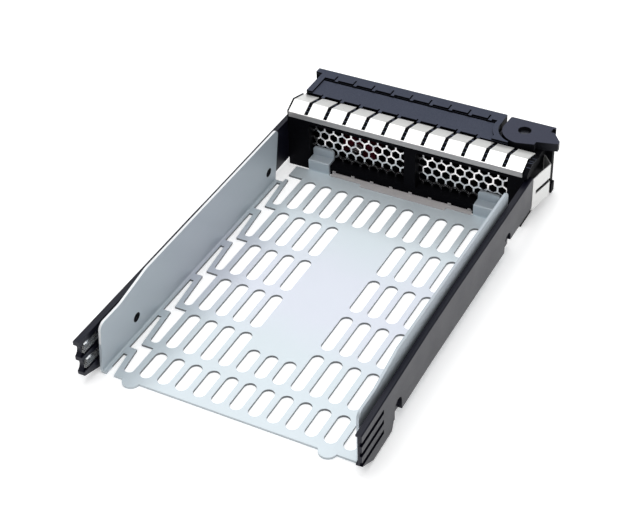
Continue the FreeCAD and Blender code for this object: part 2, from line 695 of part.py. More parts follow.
def tail_end(tail, rise):
    """Side view of what the slanted end takes off a rail's tail."""
    low = d.rail_tail_bottom
    foot = rear + d.rail_tail_cut
    behind = tail - PAST
    return polygon((behind, low - PAST), (foot, low - PAST), (foot, low),
                   (tail, low + rise), (behind, low + rise))


def underside(*corners):
    """Side view of what the rail's underside leaves free in front of the deep tail."""
    low = d.rail_tail_bottom
    slope_rear = rear + d.rail_tail_length - d.rail_tail_slope
    below = low - PAST
    return polygon((slope_rear, below), (rail_head + PAST, below), *corners, (slope_rear, low))


def make_right_rail():
    """Channel section, with a notch over each drive screw and three grooves in the tail's outer face."""
    tail = rear - d.right_tail
    body = rail_blank("right_rail", 1, tail, rear + d.rail_splay_start, size(0))
    notch = d.rail_notch / 2
    head_start = screw_front + notch
    block_end = rear + d.rail_tail_length
    under = underside((rail_head + PAST, d.rail_front_bottom), (head_start, d.rail_front_bottom),
                      (head_start, d.rail_bottom), (block_end, d.rail_bottom))
    for loops in ([under], [tail_end(tail, d.rail_tail_cut_rise)]):
        cut_across(body, loops)
    soften(body, "Y", [(rail_outer, d.rail_top)], d.rail_edge)
    channel = box(rail_inner - PAST, rail_inner + d.channel_depth, d.channel_low, d.channel_high)
    land = d.notch_land
    for start, end in ((tail - PAST, screw_rear - land), (screw_rear + land, screw_front - land),
                       (screw_front + land, rail_head + PAST)):
        cut(body, "XZ", [channel], start, end - start)
    screws = (screw_rear, screw_front)
    notches = [slot(y, d.rail_tail_bottom - PAST, d.screw_height + notch, d.rail_notch) for y in screws]
    cut(body, "YZ", notches, rail_inner + d.notch_back, d.rail_depth + PAST)
    cut_across(body, [circle(y, d.screw_height, d.rail_screw_hole / 2) for y in screws])
    groove_floor = rail_outer + d.rail_splay - d.groove_depth
    grooves = []
    for index in range(3):
        groove_low = d.groove_low + d.groove_pitch * index
        grooves.append(box(groove_floor, groove_floor + PAST, groove_low, groove_low + d.groove_width))
    cut(body, "XZ", grooves, tail - PAST, rear + d.groove_length - tail + PAST)
    return body


def make_left_rail():
    """Solid section with a way for each light pipe, open at the tail, and a hole over each drive screw."""
    tail = rear - d.rail_tail
    body = rail_blank("left_rail", -1, tail, rear + d.left_splay_start, d.rail_swell)
    block_end = rear + d.rail_tail_length
    under = underside((rail_head + PAST, d.left_bottom), (block_end, d.left_bottom))
    for loops in ([under], [tail_end(tail, d.left_cut_rise)]):
        cut_across(body, loops)
    soften(body, "Y", [(-rail_outer, d.rail_top)], d.rail_edge)
    room = d.pipe_room / 2
    wide = pipe_outer + room
    ways = []
    pockets = []
    notches = []
    for pipe_low in (d.pipe_upper, d.pipe_lower):
        ways.append(box(-wide, -pipe_inner + room, pipe_low - room, pipe_low + d.pipe_height + room))
        middle = pipe_low + d.pipe_height / 2
        pockets.append(box(-wide, -rail_inner + PAST, middle - d.tail_pocket / 2, middle + d.tail_pocket / 2))
        notches.append(circle(tail - d.tail_notch_out, middle, d.tail_notch))
    cut(body, "XZ", ways, tail - PAST, rail_head - tail + PAST * 2)
    cut(body, "XZ", pockets, tail - PAST, d.tail_pocket_length + PAST)
    cut_across(body, notches)
    cut_across(body, [circle(y, d.screw_height, d.rail_notch / 2) for y in (screw_rear, screw_front)])
    return body


def make_bezel_frame():
    body = new_body("bezel_frame")
    base = d.base_thickness
    add(body, "XY", [box(-cheek_outer, cheek_outer, bezel_rear, cheek_front)], 0, shelf_top)
    inside = box(-cheek_inner, cheek_inner, screen_rear, cheek_front + PAST)
    cut(body, "XY", [inside], base, shelf_top - d.shelf_thickness - base)
    roof = box(-cheek_inner, cheek_inner, shelf_front, cheek_front + PAST)
    cut(body, "XY", [roof], shelf_top - d.shelf_thickness * 2, d.shelf_thickness * 2 + PAST)
    low, high = d.window_low, d.window_high
    windows = [box(-d.window_left, d.post_left, low, high),
               box(d.post_left + d.post_width, d.window_right, low, high)]
    cut(body, "XZ", windows, bezel_rear - PAST, d.bezel_wall + PAST * 1.5)

    # Bead under the finger strip, with a rib at each end that follows the fingers.
    def bead(lift):
        under = shelf_top - d.shelf_thickness / 2
        crest = crest_top + lift
        return polygon((bezel_rear, under), (bezel_rear, lip_top + lift),
                       (crest_start, crest, -d.crest_radius), (crest_end, crest),
                       (finger_tip, finger_tip_top + lift), (finger_tip, under))

    end = d.strip_room * 2
    bead_length = finger_right - finger_left + end * 2
    add(body, "YZ", [bead(-d.strip_gauge - d.strip_room)], finger_left - end, bead_length)
    add(body, "YZ", [bead(d.end_rib_rise)], finger_left - d.strip_room - d.end_rib, d.end_rib)
    add(body, "YZ", [bead(-d.right_rib_drop)], finger_right + d.strip_room, d.right_rib)

    # Long bar with its channel, cut back round the hinge block.
    bar = polygon((-d.bar_left, bar_rear), (d.bar_rim_right, bar_rear), (d.bar_rim_right, bar_tail_front),
                  (hinge_x, bar_tail_front), (hinge_x, hinge_y), (d.bar_right, hinge_y),
                  (d.bar_right, bezel_front), (-d.bar_front_left, bezel_front),
                  (-d.bar_front_left, bezel_front - d.bar_front_plate),
                  (-d.bar_left, bezel_front - d.bar_front_plate))
    add(body, "XY", [bar], shelf_top, d.bar_height)
    recess = d.block_radius + d.block_gap
    cut(body, "XY", [circle(hinge_x, hinge_y, recess)], shelf_top, d.bar_height + PAST)
    channel_floor = bar_top - d.bar_channel_depth
    rim_arc = recess + d.bar_end_rim

    def on_rim(back):
        """A point of the rim's arc round the hinge, a given way behind the hinge."""
        return (hinge_x - (rim_arc * rim_arc - back * back).root(), hinge_y - back)

    arc_rear, arc_front = on_rim(d.bar_end_bend), on_rim(hinge_y - channel_front)
    channel = polygon((-d.bar_channel_left, bar_rear - PAST), (arc_rear[0], bar_rear - PAST),
                      (*arc_rear, -rim_arc), arc_front, (-d.bar_channel_left, channel_front))
    cut(body, "XY", [channel], channel_floor, d.bar_channel_depth + PAST)
    trench_floor = channel_floor - d.trench_depth
    trench = box(-d.bar_channel_left, arc_front[0], channel_front - d.trench_width, channel_front)
    cut(body, "XY", [trench], trench_floor, d.trench_depth + PAST)

    # Hinge: an ear at shelf height, open in front so that the lever's web can swing, and a hole in the base.
    ear_low = shelf_top - d.ear_thickness
    ear_rear = shelf_front - d.shelf_thickness
    ear = box(hinge_x - d.ear_radius, cheek_inner + d.cheek_wall / 2, ear_rear, hinge_y)
    add(body, "XY", [ear], ear_low, d.ear_thickness)
    add(body, "XY", [circle(hinge_x, hinge_y, d.ear_radius)], ear_low, d.ear_thickness)
    cut(body, "XY", [circle(hinge_x, hinge_y, bore_radius)], -PAST, shelf_top + PAST * 2)

    # Right post with its foot, left cheek round the light pipes, and the front panel at the left.
    post_front = bezel_front - d.post_setback
    post_rear = post_front - d.post_depth
    inset = cheek_outer - d.cheek_wall / 2
    post_top = shelf_top - d.swing_room
    post = box(inset, cheek_outer + d.post_reach, post_rear, post_front)
    add(body, "XY", [post], d.post_low, post_top - d.post_low)
    foot = box(inset, cheek_outer + d.foot_reach, post_rear - d.swing_room, post_front + d.swing_room)
    add(body, "XY", [foot], d.post_low, d.foot_height)
    pipe_block = box(-rail_outer, -inset, rail_head, cheek_front)
    add(body, "XY", [pipe_block], d.left_bottom, d.rail_top - d.left_bottom)
    panel_rear = bezel_front - d.panel_thickness
    add(body, "XY", [box(-d.bar_front_left, -d.panel_right, panel_rear, bezel_front)], 0, shelf_top)
    behind_panel = cheek_front - d.panel_thickness
    add(body, "XY", [box(-d.bar_left, -d.panel_right, behind_panel, bezel_front)], 0, base)
    add(body, "XY", [box(-cheek_outer, -cheek_inner, behind_panel, bezel_front)], 0, shelf_top)
    room = d.pipe_room / 2
    pipe_ways = [box(-pipe_outer - room, -pipe_inner + room, z - room, z + d.pipe_height + room)
                 for z in (d.pipe_upper, d.pipe_lower)]
    cut(body, "XZ", pipe_ways, rail_head - PAST, bezel_front - rail_head + PAST * 2)

    # Seat of the button spring and the ribs that guide the button's stem.
    seat = box(-d.button_place - d.seat_width / 2, -d.button_place + d.seat_width / 2,
               seat_front - d.seat_thickness, seat_front)
    add(body, "XY", [seat], base, d.seat_height - base)
    guide_near = d.stem_width / 2 + d.swing_room
    guide_front = stem_front - d.guide_length / 2
    guide_rear = guide_front - d.guide_length
    guides = []
    for side in (-1, 1):
        near = -d.button_place + guide_near * side
        guides.append(box(near, near + d.guide_width * side, guide_rear, guide_front))
    add(body, "XY", guides, base, d.guide_height)

    # Notches for the fingers' tips along the bar's rear edge, a longer one beside the hinge block.
    rib_middle = first_slit + d.rib_shift
    rib_left, rib_right = rib_middle - d.rib_width / 2, rib_middle + d.rib_width / 2
    last_rib = rib_right + d.finger_pitch * (bar_ribs - 1)
    notch_floor = shelf_top + d.tip_notch_low
    notch_rear, notch_front = bar_rear - d.tip_notch_back, bar_rear + d.tip_notch_depth
    end_notch_front = bar_rear + d.end_notch_depth
    notch_left, notch_right = finger_left - d.strip_room, finger_right + d.strip_room
    tip_notch = polygon((notch_left, notch_rear), (notch_right, notch_rear), (notch_right, end_notch_front),
                        (last_rib, end_notch_front), (last_rib, notch_front), (notch_left, notch_front))
    cut(body, "XY", [tip_notch], notch_floor, d.bar_height + PAST)

    # Once for each finger: ribs across the trench and between the notches, with a slit beside each.
    front_rib = box(rib_left, rib_right, channel_front - d.rib_reach, channel_front + d.rib_reach)
    made = add(body, "XY", [front_rib], trench_floor, d.trench_depth + d.bar_channel_depth)
    repeat(body, made, "X", bar_ribs, d.finger_pitch)
    tip_rib = box(rib_left, rib_right, finger_tip + d.strip_room, notch_front)
    made = add(body, "XY", [tip_rib], notch_floor, channel_floor - notch_floor)
    repeat(body, made, "X", bar_ribs, d.finger_pitch)
    slit_left = rib_left - d.slit_width
    slits = [box(slit_left, rib_left, channel_front - d.rib_reach, channel_front + d.slit_reach),
             box(slit_left, rib_left, bar_rear, notch_front + d.tip_slit)]
    made = cut(body, "XY", slits, notch_floor, d.bar_height + PAST)
    repeat(body, made, "X", bar_ribs, d.finger_pitch)
    return body


def make_vent_screen():
    body = new_body("vent_screen")
    left, right = -d.window_left - d.screen_border, d.window_right + d.screen_border
    low, high = d.base_thickness, shelf_top - d.shelf_thickness
    add(body, "XZ", [box(left, right, low, high)], screen_rear, d.screen_gauge)
    corner = d.cell_width / ROOT3
    row_step = d.cell_pitch * (ROOT3 / 2)

    def cell(x, z):
        half = d.cell_width / 2
        return polygon((x, z + corner), (x - half, z + corner / 2), (x - half, z - corner / 2),
                       (x, z - corner), (x + half, z - corner / 2), (x + half, z + corner / 2))

    columns = int(d.cell_columns.value)
    odd = (-d.cell_left, d.cell_low, columns, 3)
    even = (-d.cell_left + d.cell_pitch / 2, d.cell_low + row_step, columns - 1, 2)
    for x, z, across, rows in (odd, even):
        one = cut(body, "XZ", [cell(x, z)], screen_rear - PAST, d.screen_gauge + PAST * 2)
        repeat(body, one, "X", across, d.cell_pitch, "Z", rows, row_step * 2)
    return body


def make_finger_strip():
    body = new_body("finger_strip")
    thin = d.strip_gauge
    lip_low = lip_top - d.lip_height
    profile = polygon((lip_y, lip_low), (bezel_rear, lip_low), (bezel_rear, lip_top - thin),
                      (crest_start, crest_top - thin, -d.crest_radius), (crest_end, crest_top - thin),
                      (finger_tip, finger_tip_top - thin), (finger_tip, finger_tip_top),
                      (crest_end, crest_top, d.crest_radius), (crest_start, crest_top), (lip_y, lip_top))
    add(body, "YZ", [profile], finger_left, finger_right - finger_left)
    half = d.finger_slit / 2
    one = cut(body, "XY", [box(first_slit - half, first_slit + half, bezel_rear, finger_tip + PAST)],
              lip_low, d.lip_height + d.finger_rise + PAST)
    repeat(body, one, "X", int(d.finger_count.value) - 1, d.finger_pitch)
    return body


def make_side_spring():
    body = new_body("side_spring")
    thin = d.strip_gauge
    start = bezel_rear + d.spring_start
    end = start + d.spring_length
    crest_y = start + d.spring_length * 0.72
    near = cheek_outer
    crest = cheek_outer + d.spring_bow
    root = near + d.spring_root
    plan = polygon((near, start), (root, start), (crest, crest_y), (near + thin * 2, end), (near, end),
                   (near, end - thin), (near + thin, end - thin), (crest - thin, crest_y),
                   (root - thin, start + thin), (near, start + thin))
    add(body, "XY", [plan], d.spring_low, d.spring_high - d.spring_low)
    middle = (d.spring_low + d.spring_high) / 2
    half = d.spring_slit / 2
    slit = box(start + d.spring_root, end + PAST, middle - half, middle + half)
    cut(body, "YZ", [slit], near - PAST, d.spring_bow + PAST * 2)
    return body


def make_ejector_lever():
    body = new_body("ejector_lever")
    room = d.swing_room
    front_face = bezel_front - d.lever_front
    block_low = shelf_top + room
    block_arc = (d.block_side + d.block_radius) / 2
    block = polygon((hinge_x - d.block_side, hinge_y, block_arc), (hinge_x, hinge_y - d.block_radius),
                    (hinge_x + d.tooth_root, hinge_y - d.block_radius + d.tooth_back),
                    (hinge_x + d.tooth_root, hinge_y - d.tooth_flank),
                    (hinge_x + d.tooth_reach, hinge_y - d.tooth_back * 2),
                    (hinge_x + d.tooth_reach, hinge_y - d.tooth_back),
                    (hinge_x + d.block_waist, hinge_y + d.block_waist_front),
                    (hinge_x + d.block_right, front_face),
                    (hinge_x - d.block_left + d.block_corner, front_face, d.block_corner),
                    (hinge_x - d.block_left, front_face - d.block_corner))
    add(body, "XY", [block], block_low, bar_top - block_low)
    pocket_left, pocket_front = hinge_x + d.block_right - d.block_notch, front_face - d.block_notch_rim
    pocket = box(pocket_left, pocket_left + PAST, pocket_front - d.block_notch_length, pocket_front)
    cut(body, "XY", [pocket], bar_top - d.block_notch_depth, d.block_notch_depth + PAST)
    bottom = d.base_thickness + room
    web = box(hinge_x - d.block_left, hinge_x + d.web_right, front_face - d.web_thickness, front_face)
    add(body, "XY", [web], bottom, bar_top - d.bar_height / 2 - bottom)
    handle = box(-d.lever_left, hinge_x, front_face - d.lever_thickness, front_face)
    add(body, "XY", [handle], bottom, d.lever_top - bottom)
    cut(body, "XY", [circle(hinge_x, hinge_y, d.hub_radius)], bottom, d.lever_top - bottom + room)
    add(body, "XY", [circle(hinge_x, hinge_y, d.hub_radius)], bottom, d.hub_top - bottom)
    cut(body, "XY", [circle(hinge_x, hinge_y, bore_radius)], bottom - PAST, bar_top + PAST * 2)
    first_vent = -d.lever_left + d.vent_start
    one = cut(body, "XZ", [slot(first_vent, d.vent_low, d.vent_high, d.vent_width)],
              front_face - d.lever_thickness - PAST, d.lever_thickness + PAST * 2)
    repeat(body, one, "X", int(d.vent_count.value), d.vent_pitch)
    return body


def make_hinge_pin():
    body = new_body("hinge_pin")
    add(body, "XY", [circle(hinge_x, hinge_y, d.pin_radius)], 0, bar_top - d.pin_recess)
    return body


def make_coil(name, radius, turns, low, height):
    """A coil spring along Z, placed by its own Placement."""
    body = new_body(name)
    wire = d.coil_wire
    outline = outline_on(body, "XZ", [circle(radius, low + wire / 2, wire / 2)], 0)
    made = body.newObject("PartDesign::AdditiveHelix", f"{name}_helix")
    made.Profile = outline
    made.ReferenceAxis = (outline, ["V_Axis"])
    made.Mode = "height-turns-angle"
    made.setExpression("Height", (size(height) - wire).text)
    made.setExpression("Turns", size(turns).text)
    body.Tip = made
    doc.recompute()
    return body


def make_lever_spring():
    low = d.hub_top + d.swing_room
    height = shelf_top - d.ear_thickness - d.swing_room - low
    body = make_coil("lever_spring", d.lever_coil, d.lever_coil_turns, low, height)
    for axis, value in (("x", hinge_x), ("y", hinge_y)):
        body.setExpression(f"Placement.Base.{axis}", value.text)
    return body


def make_button_spring():
    body = make_coil("button_spring", d.button_coil, d.button_coil_turns, 0, d.seat_gap)
    body.Placement.Rotation = FreeCAD.Rotation(FreeCAD.Vector(1, 0, 0), -90)
    middle = stem_low + d.stem_height / 2
    for axis, value in (("x", -d.button_place), ("y", seat_front), ("z", middle)):
        body.setExpression(f"Placement.Base.{axis}", value.text)
    return body


def make_release_button():
    body = new_body("release_button")
    half = d.button_width / 2
    cap = box(-d.button_place - half, -d.button_place + half, d.button_low, d.button_high)
    add(body, "XZ", [cap], stem_front, d.button_cap)
    edges = [(-d.button_place - half, button_front), (-d.button_place + half, button_front)]
    soften(body, "Z", edges, d.button_edge)
    stem_left, stem_right = -d.button_place - d.stem_width / 2, -d.button_place + d.stem_width / 2
    stem = box(stem_left, stem_right, stem_low, stem_low + d.stem_height)
    add(body, "XZ", [stem], stem_rear, d.stem_length + d.button_cap / 2)
    return body


def make_light_pipe(name, low):
    """A clear bar along the left rail, with a slanted end that catches the light."""
    body = new_body(name)
    tail = rear - d.pipe_tail
    high = low + d.pipe_height
    side = polygon((tail, low), (bezel_front, low), (bezel_front, high), (tail + d.pipe_flare_length, high),
                   (tail + d.pipe_height / 2, high + d.pipe_flare))
    add(body, "YZ", [side], -pipe_outer, d.pipe_thickness)
    return body


def make_guard_strip():
    body = new_body("guard_strip")
    thin, half = d.guard_gauge, d.guard_half
    back = bezel_rear - thin
    edge, near = back - d.guard_depth, back - d.guard_depth - d.guard_tongue
    outline = polygon((-half, edge), (-d.tongue_left, edge), (-d.tongue_left, near), (d.tongue_right, near),
                      (d.tongue_right, edge), (half, edge), (half, back), (-half, back))
    add(body, "XY", [outline], gauge, thin)

    # The edge at the bezel is turned up and carries a tooth below every finger but the end ones.
    lip_low = gauge + thin
    add(body, "XY", [box(-half, half, back - thin, back)], lip_low, d.guard_lip)
    tooth = box(-half, d.guard_tooth_width - half, back - thin, back)
    one = add(body, "XY", [tooth], lip_low + d.guard_lip, d.guard_tooth)
    repeat(body, one, "X", int(d.finger_count.value) - 4, d.finger_pitch)
    return body


pieces = [make_tray_sheet(), make_right_rail(), make_left_rail(), make_bezel_frame(),
          make_vent_screen(), make_finger_strip(), make_side_spring(), make_ejector_lever(), make_hinge_pin(),
          make_lever_spring(), make_release_button(), make_button_spring(),
          make_light_pipe("light_pipe_upper", d.pipe_upper),
          make_light_pipe("light_pipe_lower", d.pipe_lower), make_guard_strip()]
doc.recompute()

for item in doc.Objects:
    if "Invalid" in item.State or "Error" in item.State:
        raise RuntimeError(f"{item.Label} failed: {item.State}")
for piece in pieces:
    if piece.Shape.isNull() or not piece.Shape.isValid():
        raise RuntimeError(f"{piece.Label} has no valid shape")

os.makedirs("parts", exist_ok=True)
for piece in pieces:
    piece.Shape.exportStep(f"parts/{piece.Label}.step")
    box_of = piece.Shape.BoundBox
    print(f"{piece.Label}: {len(piece.Shape.Solids)} solid, {piece.Shape.Volume / 1000:.2f} cm3, "
          f"X {box_of.XMin:.1f} to {box_of.XMax:.1f}, Y {box_of.YMin:.1f} to {box_of.YMax:.1f}, "
          f"Z {box_of.ZMin:.1f} to {box_of.ZMax:.1f}")
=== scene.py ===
# %% [markdown]
# # A hot-swap drive tray
# A server slides each hard drive in on an open tray. A folded steel sheet holds the drive by screws
# through its sides. Plastic rails guide it, and a vented bezel at the front carries a swinging lever
# that pulls the tray out of its connector. The imported solids are loaded first and stay as they are:
# this lesson gives them their finishes, winds a coil in place of the button's spring, and sets up the
# light and the camera.

# %% Load the imported frame
import math

import bpy
import numpy as np
from mathutils import Matrix, Vector


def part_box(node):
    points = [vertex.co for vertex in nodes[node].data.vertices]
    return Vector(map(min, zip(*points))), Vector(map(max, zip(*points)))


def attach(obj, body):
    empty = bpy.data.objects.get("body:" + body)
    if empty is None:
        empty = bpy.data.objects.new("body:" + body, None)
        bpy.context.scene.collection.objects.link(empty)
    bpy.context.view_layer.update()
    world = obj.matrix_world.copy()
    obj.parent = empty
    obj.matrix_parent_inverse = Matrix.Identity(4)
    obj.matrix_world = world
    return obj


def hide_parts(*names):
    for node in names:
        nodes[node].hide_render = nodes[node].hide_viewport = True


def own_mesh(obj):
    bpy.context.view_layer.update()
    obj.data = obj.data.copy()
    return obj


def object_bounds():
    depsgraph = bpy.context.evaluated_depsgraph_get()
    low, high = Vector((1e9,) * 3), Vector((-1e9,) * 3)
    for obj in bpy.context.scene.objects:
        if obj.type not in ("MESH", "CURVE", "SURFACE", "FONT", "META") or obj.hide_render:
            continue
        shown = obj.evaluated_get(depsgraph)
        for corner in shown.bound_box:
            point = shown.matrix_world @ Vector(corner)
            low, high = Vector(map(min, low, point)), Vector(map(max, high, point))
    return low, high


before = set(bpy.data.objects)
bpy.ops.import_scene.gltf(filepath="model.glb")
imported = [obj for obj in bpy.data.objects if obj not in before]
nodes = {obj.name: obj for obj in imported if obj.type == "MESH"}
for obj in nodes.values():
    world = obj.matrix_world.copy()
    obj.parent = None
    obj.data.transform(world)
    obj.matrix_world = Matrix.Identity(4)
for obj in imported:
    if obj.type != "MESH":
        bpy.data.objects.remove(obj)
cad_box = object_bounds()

MM = 0.001
print("nodes:", ", ".join(sorted(nodes)))

# %% [markdown]
# ## Shader maths as expressions
# A finish is easier to read as a formula than as a web of nodes. A small class wraps a node's output
# socket, so that `1 - mask` or `noise * 0.2` adds the Math nodes it needs. Any other node comes from
# one method, which sets the node's own options first and then fills or links its inputs.


# %% A socket that understands arithmetic
class Wire:
    """An output socket. Arithmetic on it adds Math nodes, and node() adds any other node."""

    def __init__(self, tree, socket=None):
        self.tree = tree
        self.socket = socket

    def node(self, kind, settings=None, output=0, **inputs):
        """A new node. Its settings come first, then its inputs by name, or by i and a number."""
        made = self.tree.nodes.new(kind)
        for name, value in (settings or {}).items():
            setattr(made, name, value)
        for name, value in inputs.items():
            key = int(name[1:]) if name[1:].isdigit() else name.replace("_", " ")
            if isinstance(value, Wire):
                self.tree.links.new(value.socket, made.inputs[key])
            else:
                made.inputs[key].default_value = value
        return Wire(self.tree, made.outputs[output])

    def maths(self, operation, first, second):
        return self.node("ShaderNodeMath", {"operation": operation}, i0=first, i1=second)

    def __add__(self, other):
        return self.maths("ADD", self, other)

    def __radd__(self, other):
        return self.maths("ADD", other, self)

    def __sub__(self, other):
        return self.maths("SUBTRACT", self, other)

    def __rsub__(self, other):
        return self.maths("SUBTRACT", other, self)

    def __mul__(self, other):
        return self.maths("MULTIPLY", self, other)

    def __rmul__(self, other):
        return self.maths("MULTIPLY", other, self)

    def __truediv__(self, other):
        return self.maths("DIVIDE", self, other)

    def mix(self, low, high):
        """A colour that goes from low to high as this value goes from 0 to 1.

        Inputs 6 and 7 and output 2 are the Mix node's colours.
        """
        return self.node("ShaderNodeMix", {"data_type": "RGBA"}, output=2, i0=self,
                         i6=low if isinstance(low, Wire) else (*low, 1.0),
                         i7=high if isinstance(high, Wire) else (*high, 1.0))

    def ramp(self, start, end):
        """0 below start, 1 above end, straight between."""
        return self.node("ShaderNodeMapRange", i0=self, i1=start, i2=end)

    def band(self, low, high, soft):
        """1 between low and high, 0 outside them, with edges that are soft wide."""
        return self.ramp(low - soft, low) * (1.0 - self.ramp(high, high + soft))

    def either(self, other):
        """The larger of two masks."""
        return self.maths("MAXIMUM", self, other)


print("Wire: adds, subtracts, multiplies, divides and mixes sockets")

# %% [markdown]
# ## A finish to start from
# Every piece gets a Principled shader that reads Object coordinates, so that a pattern keeps its size in
# millimetres and stays with its piece when that moves. A picture wrapped round the piece would need an
# unfolded surface, which these solids don't have.


# %% A material with coordinates and noise
class Finish:
    """A material whose tree has a Principled shader, Object coordinates and noise in millimetres."""

    def __init__(self, name):
        self.material = bpy.data.materials.new(name)
        self.material.use_nodes = True
        self.tree = self.material.node_tree
        self.shader = self.tree.nodes["Principled BSDF"]
        self.wire = Wire(self.tree)
        self.place = self.wire.node("ShaderNodeTexCoord", output="Object")

    def split(self):
        """X, Y and Z in metres."""
        parts = self.wire.node("ShaderNodeSeparateXYZ", Vector=self.place).socket.node
        return [Wire(self.tree, socket) for socket in parts.outputs]

    def noise(self, size_mm, detail=3.0, stretch=(1.0, 1.0, 1.0)):
        """Noise from 0 to 1 whose features are about size_mm wide, stretched along the axes."""
        shrink = tuple(1.0 / factor for factor in stretch)
        placed = self.wire.node("ShaderNodeMapping", Vector=self.place, Scale=shrink)
        scale = 1.0 / (size_mm * MM)
        return self.wire.node("ShaderNodeTexNoise", Vector=placed, Scale=scale, Detail=detail)

    def set(self, **values):
        """Links or sets the shader's sockets by name. A colour of three numbers is made opaque."""
        for name, value in values.items():
            socket = self.shader.inputs[name.replace("_", " ")]
            if isinstance(value, Wire):
                self.tree.links.new(value.socket, socket)
            else:
                is_colour = isinstance(value, tuple) and len(value) == 3
                socket.default_value = (*value, 1.0) if is_colour else value
        return self

    def bump(self, height, depth_mm, strength):
        """Lets a height from 0 to 1 tilt the surface as a relief depth_mm deep would."""
        made = self.wire.node("ShaderNodeBump", Height=height, Distance=depth_mm * MM, Strength=strength)
        return self.set(Normal=made)


print("Finish: Object coordinates, noise and bump, sized in millimetres")

# %% [markdown]
# ## Plated sheet steel
# The tray is cut and folded from zinc-plated sheet. The plating gives a pale, slightly blue metal with
# a soft sheen, a faint rolling grain along the tray, and cloudy patches where the coat is thicker.
# Stretched noise makes the grain and wide noise makes the clouds. Both stay gentle, because the real
# sheet looks even from arm's length. The press leaves the walls of the floor's slots bare and dull, so
# every point between the two faces of the floor takes a darker, rougher steel. That darker colour is also
# painted shade, as little light reaches those walls, and it is painted fainter along the rear rim, which the
# floor lights.
# The plating shimmers a little, from cyan at the tray's ends to lilac across its middle.
# The sides are painted a little darker than the floor, as shade, and are less smooth. The sprung
# wall's rim is painted bright as a highlight, and the holes are painted black as shade.


# %% Plated sheet
ROLLED_ALONG = (1.0, 40.0, 1.0)
CLOUD_SHARE, GRAIN_SHARE = 0.7, 0.3
CLOUD_ROUGH, GRAIN_ROUGH = 0.08, 0.10
SHEET_GAUGE, SHEET_SKIN = 1.0 * MM, 0.04 * MM
LILAC, LILAC_SHARE = (0.70, 0.725, 0.81), 0.8
SHIMMER_START, SHIMMER_END = 5.0 * MM, 28.0 * MM
SHIMMER_SOFT, SHIMMER_DRIFT = 25.0 * MM, 30.0 * MM
# The cut walls' colour is bare steel darkened further as painted shade, and the rear rim, lit by the floor,
# gets only a share of it.
SHEARED_AND_SHADED, SHEARED_ROUGH = (0.16, 0.17, 0.18), 0.2
LIT_RIM, LIT_RIM_SHARE = 7.0 * MM, 0.4
# The folded walls' colour is painted shade: they are painted darker than the floor, as if less lit.
WALL_SHADE, WALL_SHADE_SHARE, FOLDED_ROUGH = (0.44, 0.49, 0.535), 0.8, 0.14
SCREW_PLACES = (-48.7 * MM, 52.9 * MM)
SCREW_HEIGHT, SCREW_RADIUS = 9.1 * MM, 2.0 * MM
# Painted shade: the walls of the screw holes are painted black, since no light reaches into them.
HOLE_SHADE, BORE_EDGE = (0.008, 0.009, 0.012), 1.1
WALL_HALF, WALL_LEAN = 51.3 * MM, 2.8 / 27.7
WALL_FOOT = WALL_HALF + SCREW_HEIGHT * WALL_LEAN
# A painted highlight: the top edge of the wall that leans in is painted bright.
RIM_HIGHLIGHT, RIM_HIGHLIGHT_FROM = (0.88, 0.895, 0.91), 14.0 * MM


def plated_sheet(name, colour, shade, rough, metal, low_corner=None):
    """Plated steel. With low_corner, a tray's lowest corner, its cut and folded faces are rougher and painted
    darker as shade, the leaning wall's rim gets a painted highlight and the screw holes get painted shade.
    """
    finish = Finish(name)
    grain = finish.noise(size_mm=0.5, detail=4.0, stretch=ROLLED_ALONG)
    clouds = finish.noise(size_mm=22.0, detail=2.0)
    face = (clouds * CLOUD_SHARE + grain * GRAIN_SHARE).mix(shade, colour)
    if low_corner is not None:
        x, y, z = finish.split()
        bottom, rear = low_corner.z, low_corner.y
        # Along the tray, with an uneven edge: the lilac shimmer.
        shimmer = (y + clouds * SHIMMER_DRIFT).band(SHIMMER_START, SHIMMER_END, SHIMMER_SOFT)
        face = (shimmer * LILAC_SHARE).mix(face, LILAC)
        # Between the two faces of the floor: the cut walls of its slots, bare steel darkened further with
        # painted shade, less on the lit rear rim.
        inside = z.band(bottom + SHEET_SKIN, bottom + SHEET_GAUGE - SHEET_SKIN, SHEET_SKIN)
        past_rim = y.ramp(rear + LIT_RIM, rear + LIT_RIM + SHEET_SKIN)
        sheared_and_shaded = inside * (LIT_RIM_SHARE + past_rim * (1.0 - LIT_RIM_SHARE))
        face = sheared_and_shaded.mix(face, SHEARED_AND_SHADED)
        # Above the floor: all that was folded up, painted darker as shade and made rougher.
        folded = z.ramp(bottom + SHEET_GAUGE, bottom + 2 * SHEET_GAUGE)
        face = (folded * WALL_SHADE_SHARE).mix(face, WALL_SHADE)
        # Between the two faces of the wall that leans in, and high up: its top edge, painted bright as a
        # highlight.
        depth = z * WALL_LEAN - x - WALL_FOOT
        within = depth.band(SHEET_SKIN, SHEET_GAUGE - SHEET_SKIN, SHEET_SKIN)
        rim = within * z.ramp(RIM_HIGHLIGHT_FROM, RIM_HIGHLIGHT_FROM + SHEET_GAUGE)
        face = rim.mix(face, RIM_HIGHLIGHT)
        # Within a radius of a screw's axis: the wall of its hole, painted black as shade.
        for place in SCREW_PLACES:
            along = (y - place) / SCREW_RADIUS
            rise = (z - SCREW_HEIGHT) / SCREW_RADIUS
            hole_shade = 1.0 - (along * along + rise * rise).ramp(1.0, BORE_EDGE)
            face = hole_shade.mix(face, HOLE_SHADE)
        rough = sheared_and_shaded * SHEARED_ROUGH + folded * FOLDED_ROUGH + rough
    roughness = grain * GRAIN_ROUGH + clouds * CLOUD_ROUGH + rough
    finish.set(Base_Color=face, Metallic=metal, Roughness=roughness)
    return finish.bump(grain, depth_mm=0.02, strength=0.25).material


sheet_steel = plated_sheet("plated_sheet", colour=(0.684, 0.757, 0.80), shade=(0.625, 0.692, 0.732),
                           rough=0.26, metal=0.36, low_corner=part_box("tray_sheet")[0])
screen_steel = plated_sheet("screen_sheet", colour=(0.93, 0.91, 0.91), shade=(0.86, 0.84, 0.84),
                            rough=0.06, metal=0.96)
print("sheets:", sheet_steel.name, screen_steel.name)
